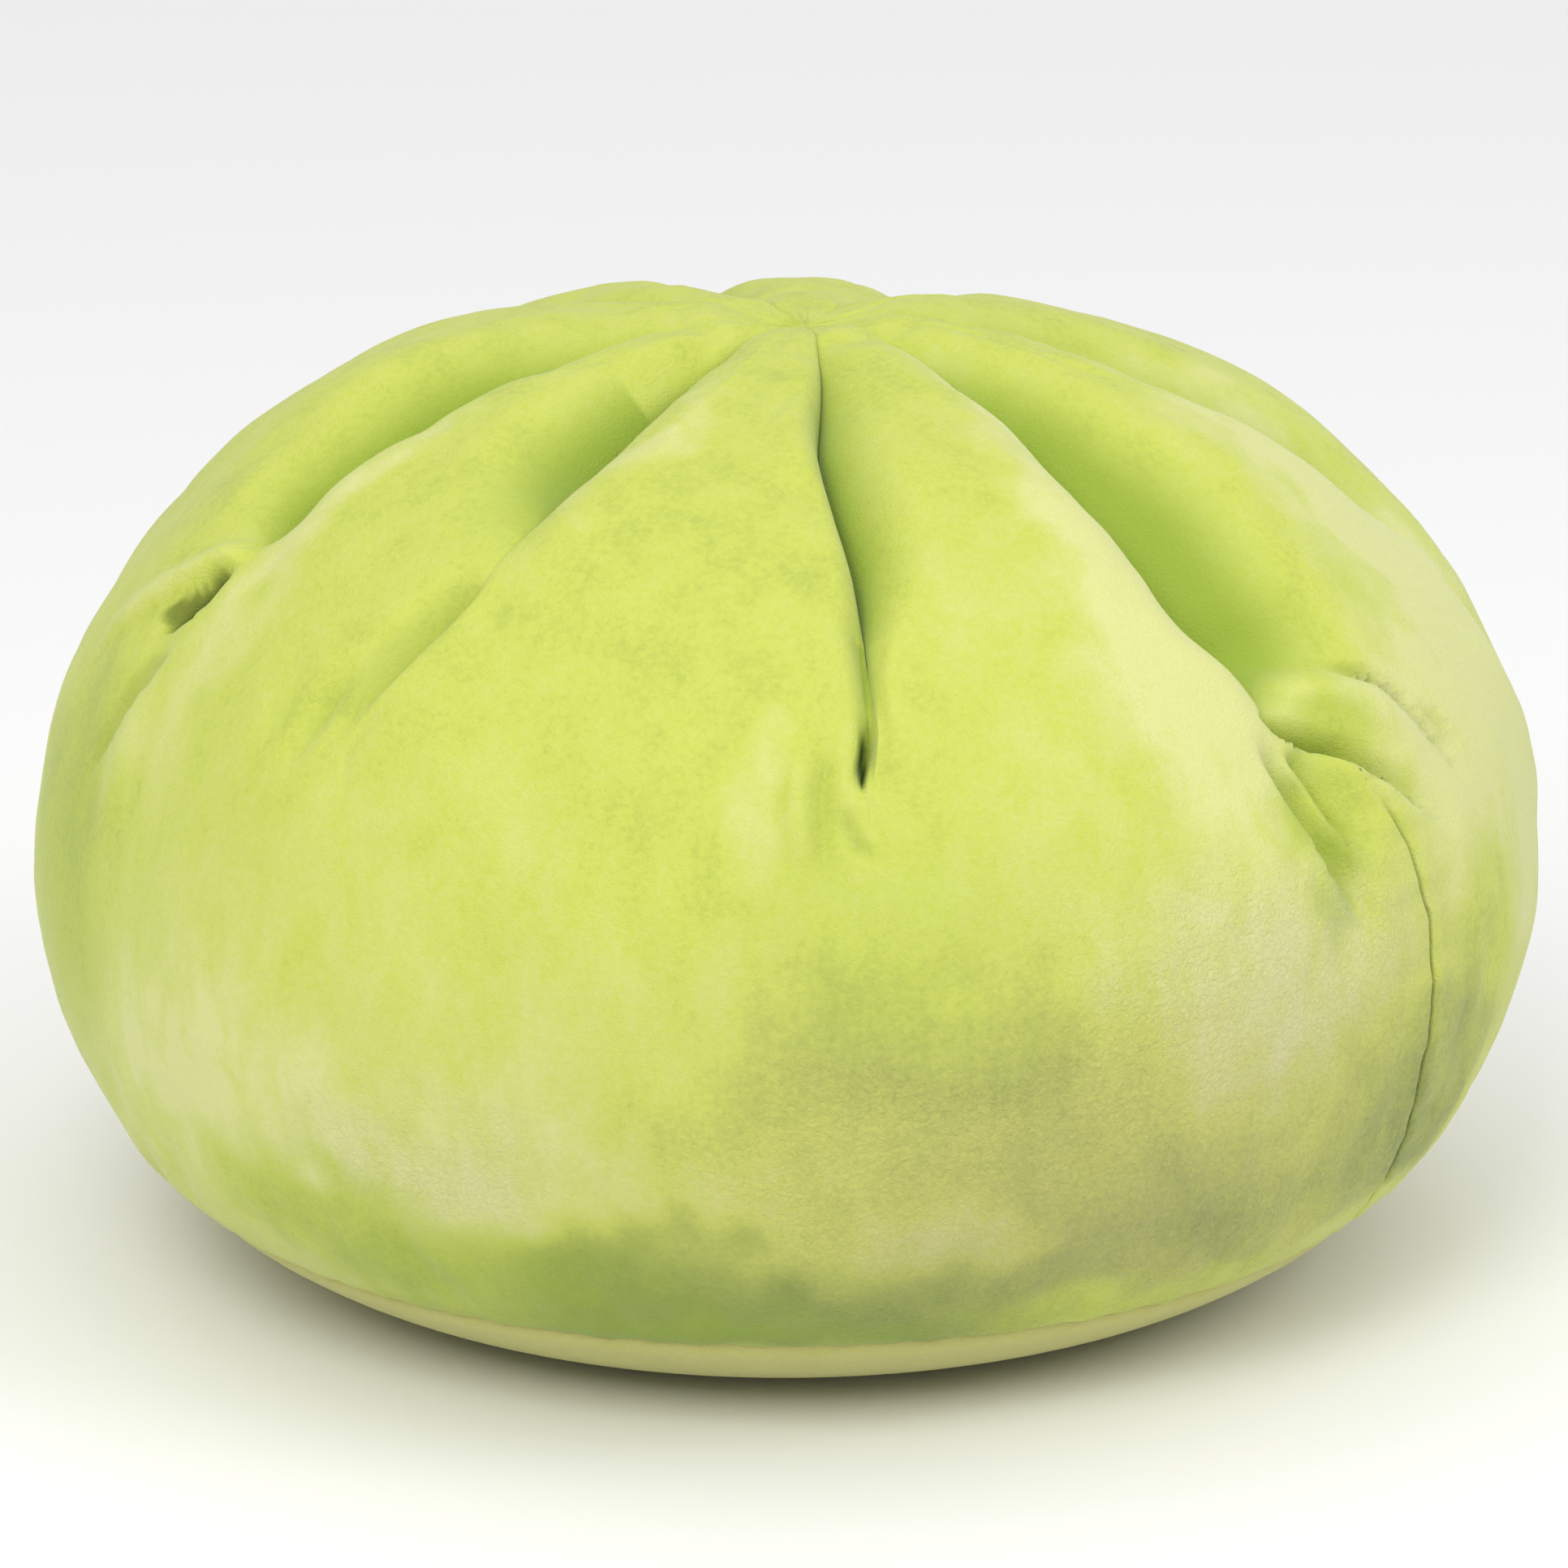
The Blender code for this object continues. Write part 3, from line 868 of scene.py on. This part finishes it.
def pile_marks(points, azimuth, reach, radius, folded):
    """Tone of the pile with painted highlights and shade, how crushed it is, its share of the lower part's
    painted tint and how green it is, at each point.
    """
    drawn = np.random.default_rng(NAP_SEED)
    warp = []
    for _ in range(2):
        broad = uneven(points, NAP_WARP_LENGTH, drawn)
        warp.append(NAP_WARP * (broad + 0.5 * uneven(points, NAP_WARP_LENGTH / 3, drawn)))
    # Painted light: the lower part made paler
    begin, end = LOW_PAINTED_LIGHT_REACH
    lower = smooth((reach - begin + warp[1]) / (end - begin))
    tone = LOW_PAINTED_LIGHT_TONE * lower
    for patch in NAP_AND_PAINTED_LIGHT_PATCHES:
        tone = tone + patch.tone * patch_share(azimuth, reach, radius, warp, patch)
    # Painted highlight on the ridges
    tone = tone + RIDGE_HIGHLIGHT_TONE * smooth(-folded / RIDGE_HEIGHT)
    # Greener pile, and painted shade in the right tuck and pocket
    green = sum(patch.tone * patch_share(azimuth, reach, radius, warp, patch) for patch in GREEN_PILE_AND_SHADE_PATCHES)
    crushed = sum(patch_share(azimuth, reach, radius, warp, patch) for patch in CRUSHED)
    side = np.maximum(0.0, np.cos(np.radians(azimuth - LOW_PAINTED_LIGHT_SIDE))) ** LOW_PAINTED_LIGHT_SPREAD
    fade_begin, fade_end = LOW_PAINTED_LIGHT_FADE
    faded = 1 - smooth((reach - fade_begin + warp[1]) / (fade_end - fade_begin))
    low = side * faded * lower
    return tone, np.clip(crushed, 0, 1), low, green


def mark(piece, name, values):
    """Keeps a value for each of a mesh's points."""
    whole = np.zeros(len(piece.data.vertices))
    whole[: values.size] = values.reshape(-1)
    piece.data.attributes.new(name, "FLOAT", "POINT").data.foreach_set("value", whole)


def node(tree, kind, **sockets):
    """A shader node with the given input values."""
    made = tree.nodes.new(kind)
    for name, value in sockets.items():
        made.inputs[name.replace("_", " ")].default_value = value
    return made


def noise(tree, source, scale, detail, distortion=0.0):
    """Noise about 0."""
    made = node(tree, "ShaderNodeTexNoise", Scale=scale, Detail=detail, Distortion=distortion)
    tree.links.new(source, made.inputs["Vector"])
    return math_node(tree, "SUBTRACT", made.outputs["Fac"], 0.5)


def stretched(tree, source, scale):
    made = node(tree, "ShaderNodeMapping", Scale=scale)
    tree.links.new(source, made.inputs["Vector"])
    return made.outputs["Vector"]


def math_node(tree, operation, first, second=None):
    made = tree.nodes.new("ShaderNodeMath")
    made.operation = operation
    for socket, value in zip(made.inputs, (first, second)):
        if isinstance(value, (int, float)):
            socket.default_value = value
        elif value is not None:
            tree.links.new(value, socket)
    return made.outputs[0]


def weighted(tree, *terms):
    """Sum of (value, weight) terms."""
    total = None
    for value, weight in terms:
        term = math_node(tree, "MULTIPLY", value, weight)
        total = term if total is None else math_node(tree, "ADD", total, term)
    return total


def marked_value(tree, name):
    made = tree.nodes.new("ShaderNodeAttribute")
    made.attribute_name = name
    return made.outputs["Fac"]


def colour_by_tone(tree, tone, stops):
    """Colour for a tone from -1 to 1, through (tone, colour) stops."""
    ramp = tree.nodes.new("ShaderNodeValToRGB")
    share = math_node(tree, "MULTIPLY_ADD", tone, 0.5)
    share.node.inputs[2].default_value = 0.5
    tree.links.new(share, ramp.inputs["Fac"])
    elements = ramp.color_ramp.elements
    while len(elements) < len(stops):
        elements.new(0.5)
    for element, (place, colour) in zip(elements, stops):
        element.position = 0.5 + 0.5 * place
        element.color = (*colour, 1.0)
    return ramp.outputs["Color"]


def mixed(tree, factor, first, second, blend="MIX"):
    made = tree.nodes.new("ShaderNodeMix")
    made.data_type = "RGBA"
    made.blend_type = blend
    tree.links.new(factor, made.inputs["Factor"])
    tree.links.new(first, made.inputs["A"])
    made.inputs["B"].default_value = (*second, 1.0)
    return made.outputs["Result"]


def velour(name, raised, plain, brushed, fold_shade=None):
    """Short pile velour: cloudy marks, streaks along the pile's lie and a fine lumpy pile; on the cover also
    painted highlights, painted shade in the folds and creases and a painted tint low down.
    """
    material = bpy.data.materials.new(name)
    material.use_nodes = True
    tree = material.node_tree
    shader = tree.nodes["Principled BSDF"]
    for socket, value in VELOUR_FINISH.items():
        shader.inputs[socket].default_value = value
    place = tree.nodes.new("ShaderNodeTexCoord").outputs["Object"]
    hanging = stretched(tree, place, (1.0, 1.0, 0.5))
    clouds = noise(tree, hanging, *CLOUDS)
    flecks = noise(tree, hanging, *FLECKS)
    grain = noise(tree, place, *GRAIN)
    streaks = noise(tree, stretched(tree, place, (1.0, 1.0, 0.14)), *STREAKS)
    tone = weighted(tree, (clouds, 0.34), (flecks, 0.36), (streaks, 0.42), (grain, 0.55))
    if fold_shade is not None:
        # The pile's tone, with painted highlights, painted shade and the lower part's painted light
        tone_and_painted_light = marked_value(tree, "tone_and_painted_light")
        ragged = math_node(tree, "MULTIPLY", tone_and_painted_light, weighted(tree, (flecks, 1.7), (1.0, 1.0)))
        tone = math_node(tree, "ADD", tone, ragged)
    colour = colour_by_tone(tree, tone, ((-0.8, brushed), (0.0, plain), (0.8, raised)))
    if fold_shade is not None:
        # Painted shade: the folds' colour, laid in where they sink
        colour = mixed(tree, marked_value(tree, "fold_shade"), colour, fold_shade)
        # Painted light: the tint of the lower part
        colour = mixed(tree, marked_value(tree, "low"), colour, LOW_PAINTED_LIGHT_TINT, "MULTIPLY")
        # Painted shade: near black inside deep creases and the seams' grooves
        colour = mixed(tree, marked_value(tree, "painted_deep_shade"), colour, DEEP_SHADE_COLOUR)
    tree.links.new(colour, shader.inputs["Base Color"])
    pile = noise(tree, place, *PILE)
    lumps = noise(tree, place, *PILE_LUMPS)
    if fold_shade is not None:
        crushed = marked_value(tree, "crushed")
        lumps = math_node(tree, "MULTIPLY", lumps, weighted(tree, (crushed, 3.4), (1.0, 0.6)))
    height = weighted(tree, (pile, 0.5), (lumps, 1.0))
    bump = node(tree, "ShaderNodeBump", Strength=0.5, Distance=0.0012)
    tree.links.new(height, bump.inputs["Height"])
    tree.links.new(bump.outputs["Normal"], shader.inputs["Normal"])
    return material


class CUSHION_OT_cover(bpy.types.Operator):
    """Make the stuffed cover with its pleats, pockets and seams"""

    bl_idname = "cushion.cover"
    bl_label = "Cover"

    def execute(self, context):
        settings = context.scene.cushion_velour
        reach = marched(GATHER_EYE_REACH, BASE_SEAM_REACH, row_pitch)[:, None]
        radius = plump(reach)[0]
        azimuth = cover_columns(reach, radius)
        points, folded, painted_shade = cover_points(azimuth, reach, radius)
        out = outward(azimuth, reach)
        held = held_share(azimuth, reach, radius, folded)
        points = points + out * settled(points, out, held)[..., None]
        under = panel_reaches(BASE_SEAM_REACH, UNDERSIDE_ROWS)[:, None]
        ring = azimuth[-1:] + 0 * under
        underside = placed(ring, under, sunk_at_base(ring, under) + CLOTH_THICKNESS + CLEARANCE)
        eye = placed(np.array(0.0), np.array(0.0), np.array(GATHER_DIMPLE))
        cover = mesh_from_rings("cushion_cover", np.concatenate([points, underside]), top=eye)
        tone, crushed, low, green = pile_marks(points, azimuth, reach, radius, folded)
        # Painted light: share of the lower part's tint
        mark(cover, "low", low)
        # The pile's tone, with painted highlights, painted shade and the lower part's painted light
        mark(cover, "tone_and_painted_light", tone)
        mark(cover, "crushed", crushed)
        # Painted shade in the folds; on a pleat's steeper shoulder it covers only a share of the width
        shaded = sunk_by_pleats(azimuth, reach, radius, STEEP_SIDE_SHADE)
        steep = sunk_by_pleats(azimuth, reach, radius) - shaded
        fold_shade = FOLD_SHADE_SHARE * smooth((folded - steep) / FOLD_SHADE_DEPTH)
        mark(cover, "fold_shade", np.maximum(fold_shade, green))
        # Painted shade inside deep creases and the seams' grooves
        mark(cover, "painted_deep_shade", np.maximum(painted_shade, dark_at_seams(azimuth, reach, radius)))
        cover.data.materials.append(
            velour("velour_cover", settings.raised, settings.plain, settings.brushed, settings.fold_shade)
        )
        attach(cover, "root")
        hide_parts("body")
        return {"FINISHED"}


class CUSHION_OT_base(bpy.types.Operator):
    """Make the round panel of velour sewn under the cushion"""

    bl_idname = "cushion.base"
    bl_label = "Base panel"

    def execute(self, context):
        settings = context.scene.cushion_velour
        reach = panel_reaches(BASE_SEAM_REACH + CLEARANCE, PANEL_ROWS)[:, None]
        azimuth = np.linspace(0, 360, PANEL_COLUMNS, endpoint=False)[None, :] + 0 * reach
        depth = sunk_at_base(azimuth, reach)
        outer = placed(azimuth, reach, depth)
        inner = placed(azimuth, reach, depth + CLOTH_THICKNESS)
        panel = mesh_from_rings("round_base", np.concatenate([inner[::-1], outer]))
        middle = [(a + b) / 2 for a, b in zip(settings.base_raised, settings.base_brushed)]
        material = velour("velour_base", settings.base_raised, middle, settings.base_brushed)
        panel.data.materials.append(material)
        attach(panel, "root")
        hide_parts("base_panel")
        return {"FINISHED"}


def stitch_tree(material):
    """Geometry Nodes that lay stitches of thread along a line of edges."""
    tree = bpy.data.node_groups.new("stitches", "GeometryNodeTree")
    tree.interface.new_socket("Seam", in_out="INPUT", socket_type="NodeSocketGeometry")
    for name in ("Pitch", "Stitch", "Thickness"):
        tree.interface.new_socket(name, in_out="INPUT", socket_type="NodeSocketFloat")
    tree.interface.new_socket("Stitches", in_out="OUTPUT", socket_type="NodeSocketGeometry")
    given = tree.nodes.new("NodeGroupInput")
    line = tree.nodes.new("GeometryNodeMeshToCurve")
    spaced = tree.nodes.new("GeometryNodeResampleCurve")
    spaced.mode = "LENGTH"
    bead = node(tree, "GeometryNodeMeshUVSphere", Segments=8, Rings=6, Radius=0.5)
    size = tree.nodes.new("ShaderNodeCombineXYZ")
    along = tree.nodes.new("GeometryNodeInputTangent")
    turned = tree.nodes.new("FunctionNodeAlignRotationToVector")
    turned.axis = "X"
    laid = tree.nodes.new("GeometryNodeInstanceOnPoints")
    real = tree.nodes.new("GeometryNodeRealizeInstances")
    rounded = tree.nodes.new("GeometryNodeSetShadeSmooth")
    finish = node(tree, "GeometryNodeSetMaterial", Material=material)
    out = tree.nodes.new("NodeGroupOutput")
    for start, end in (
        (given.outputs["Seam"], line.inputs["Mesh"]),
        (line.outputs["Curve"], spaced.inputs["Curve"]),
        (given.outputs["Pitch"], spaced.inputs["Length"]),
        (given.outputs["Stitch"], size.inputs["X"]),
        (given.outputs["Thickness"], size.inputs["Y"]),
        (given.outputs["Thickness"], size.inputs["Z"]),
        (along.outputs["Tangent"], turned.inputs["Vector"]),
        (spaced.outputs["Curve"], laid.inputs["Points"]),
        (bead.outputs["Mesh"], laid.inputs["Instance"]),
        (turned.outputs["Rotation"], laid.inputs["Rotation"]),
        (size.outputs["Vector"], laid.inputs["Scale"]),
        (laid.outputs["Instances"], rounded.inputs["Geometry"]),
        (rounded.outputs["Geometry"], real.inputs["Geometry"]),
        (real.outputs["Geometry"], finish.inputs["Geometry"]),
        (finish.outputs["Geometry"], out.inputs["Stitches"]),
    ):
        tree.links.new(start, end)
    return tree


def stitched(name, points, closed, tree, settings):
    """A piece of stitches laid along a line of points."""
    count = len(points)
    edges = [(here, (here + 1) % count) for here in range(count if closed else count - 1)]
    seam = bpy.data.meshes.new(name + "_line")
    seam.from_pydata(points.tolist(), edges, [])
    guide = bpy.data.objects.new(name + "_line", seam)
    bpy.context.scene.collection.objects.link(guide)
    modifier = guide.modifiers.new("stitches", "NODES")
    modifier.node_group = tree
    values = {"Pitch": settings.pitch, "Stitch": settings.stitch, "Thickness": settings.thickness}
    for item in tree.interface.items_tree:
        if item.in_out == "INPUT" and item.name in values:
            modifier[item.identifier] = values[item.name]
    graph = bpy.context.evaluated_depsgraph_get()
    mesh = bpy.data.meshes.new_from_object(guide.evaluated_get(graph), depsgraph=graph)
    guide.modifiers.clear()
    bpy.data.objects.remove(guide)
    bpy.data.meshes.remove(seam)
    mesh.name = name
    piece = bpy.data.objects.new(name, mesh)
    bpy.context.scene.collection.objects.link(piece)
    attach(piece, "root")
    return piece


def thread(colour):
    """Twisted sewing thread."""
    material = bpy.data.materials.new("thread")
    material.use_nodes = True
    tree = material.node_tree
    shader = tree.nodes["Principled BSDF"]
    shader.inputs["Roughness"].default_value = 0.7
    place = tree.nodes.new("ShaderNodeTexCoord").outputs["Object"]
    twist = noise(tree, place, 2500.0, 1.0)
    darker = [channel * 0.6 for channel in colour]
    lighter = [min(1.0, channel * 1.4) for channel in colour]
    tree.links.new(colour_by_tone(tree, weighted(tree, (twist, 3.0)), ((-0.8, darker), (0.8, lighter))),
                   shader.inputs["Base Color"])
    bump = node(tree, "ShaderNodeBump", Strength=0.4, Distance=0.0002)
    tree.links.new(twist, bump.inputs["Height"])
    tree.links.new(bump.outputs["Normal"], shader.inputs["Normal"])
    return material


class CUSHION_OT_sewing(bpy.types.Operator):
    """Lay the stitches of the side seam and of the base seam"""

    bl_idname = "cushion.sewing"
    bl_label = "Sewing"

    def execute(self, context):
        settings = context.scene.cushion_sewing
        tree = stitch_tree(thread(settings.thread))
        start, end = SIDE_GUIDE_ENDS
        reach = np.linspace(SIDE_SEAM_START + start, BASE_SEAM_REACH - end, SIDE_GUIDE_POINTS)
        azimuth = side_seam_azimuth(reach)
        points, _, _ = cover_points(azimuth, reach, plump(reach)[0])
        stitched("side_seam_stitches", points, False, tree, settings)
        azimuth = np.linspace(0, 360, BASE_GUIDE_POINTS, endpoint=False)
        reach = np.full(azimuth.shape, BASE_SEAM_REACH)
        points = placed(azimuth, reach, sunk_at_base(azimuth, reach))
        stitched("base_seam_stitches", points, True, tree, settings)
        return {"FINISHED"}


def aimed(thing, target):
    thing.rotation_euler = (Vector(target) - thing.location).to_track_quat("-Z", "Y").to_euler()


class CUSHION_OT_studio(bpy.types.Operator):
    """Make the floor, soft lights and camera"""

    bl_idname = "cushion.studio"
    bl_label = "Studio"

    def execute(self, context):
        scene = context.scene
        settings = scene.cushion_studio
        half = settings.floor_width / 2
        mesh = bpy.data.meshes.new("floor")
        corners = [(-half, -half, 0), (half, -half, 0), (half, half, 0), (-half, half, 0)]
        mesh.from_pydata(corners, [], [(0, 1, 2, 3)])
        floor = bpy.data.objects.new("floor", mesh)
        scene.collection.objects.link(floor)
        material = bpy.data.materials.new("floor")
        material.use_nodes = True
        shader = material.node_tree.nodes["Principled BSDF"]
        shader.inputs["Base Color"].default_value = (*settings.floor, 1)
        shader.inputs["Roughness"].default_value = 0.9
        mesh.materials.append(material)
        for name, place, energy, width in SOFT_LIGHTS:
            light = bpy.data.objects.new(name, bpy.data.lights.new(name, "AREA"))
            light.data.energy = energy
            light.data.size = width
            light.location = place
            aimed(light, (0, 0, HEIGHT / 2))
            scene.collection.objects.link(light)
        overhead = bpy.data.objects.new("overhead_light", bpy.data.lights.new("overhead_light", "SUN"))
        overhead.data.energy = OVERHEAD_POWER
        overhead.data.angle = math.radians(OVERHEAD_SPREAD)
        overhead.rotation_euler = Euler((math.radians(OVERHEAD_TILT), 0, 0))
        scene.collection.objects.link(overhead)
        world = bpy.data.worlds.new("studio")
        world.use_nodes = True
        surround = world.node_tree.nodes["Background"]
        surround.inputs["Color"].default_value = (1, 1, 1, 1)
        surround.inputs["Strength"].default_value = SURROUND_LIGHT
        scene.world = world
        camera = bpy.data.objects.new("camera", bpy.data.cameras.new("camera"))
        camera.data.sensor_width = SENSOR_WIDTH
        camera.data.lens = PHOTO_FOCAL * SENSOR_WIDTH / PHOTO_SIDE
        camera.data.shift_y = (PHOTO_AIM_ROW - PHOTO_SIDE / 2) / PHOTO_SIDE
        rise = math.radians(CAMERA_ELEVATION)
        back = CAMERA_DISTANCE * math.cos(rise)
        camera.location = (0, -back, CAMERA_AIM_HEIGHT + CAMERA_DISTANCE * math.sin(rise))
        camera.rotation_euler = Euler((math.pi / 2 - rise, 0, 0))
        scene.collection.objects.link(camera)
        scene.camera = camera
        scene.view_settings.view_transform = "Standard"
        return {"FINISHED"}


class CUSHION_PT_panel(bpy.types.Panel):
    """Lists what makes the cushion"""

    bl_idname = "CUSHION_PT_panel"
    bl_label = "Dumpling cushion"
    bl_space_type = "VIEW_3D"
    bl_region_type = "UI"
    bl_category = "Cushion"

    def draw(self, context):
        scene = context.scene
        for settings in (scene.cushion_velour, scene.cushion_sewing, scene.cushion_studio):
            for name in settings.__annotations__:
                self.layout.prop(settings, name)
        for operator in (CUSHION_OT_studio, CUSHION_OT_cover, CUSHION_OT_base, CUSHION_OT_sewing):
            self.layout.operator(operator.bl_idname)


CLASSES = (
    VelourSettings,
    SewingSettings,
    StudioSettings,
    CUSHION_OT_studio,
    CUSHION_OT_cover,
    CUSHION_OT_base,
    CUSHION_OT_sewing,
    CUSHION_PT_panel,
)


def register():
    for made in CLASSES:
        bpy.utils.register_class(made)
    bpy.types.Scene.cushion_velour = bpy.props.PointerProperty(type=VelourSettings)
    bpy.types.Scene.cushion_sewing = bpy.props.PointerProperty(type=SewingSettings)
    bpy.types.Scene.cushion_studio = bpy.props.PointerProperty(type=StudioSettings)


def unregister():
    del bpy.types.Scene.cushion_studio
    del bpy.types.Scene.cushion_sewing
    del bpy.types.Scene.cushion_velour
    for made in reversed(CLASSES):
        bpy.utils.unregister_class(made)


def main():
    register()
    bpy.ops.cushion.studio()
    bpy.ops.cushion.cover()
    bpy.ops.cushion.base()
    bpy.ops.cushion.sewing()


if __name__ == "__main__":
    main()
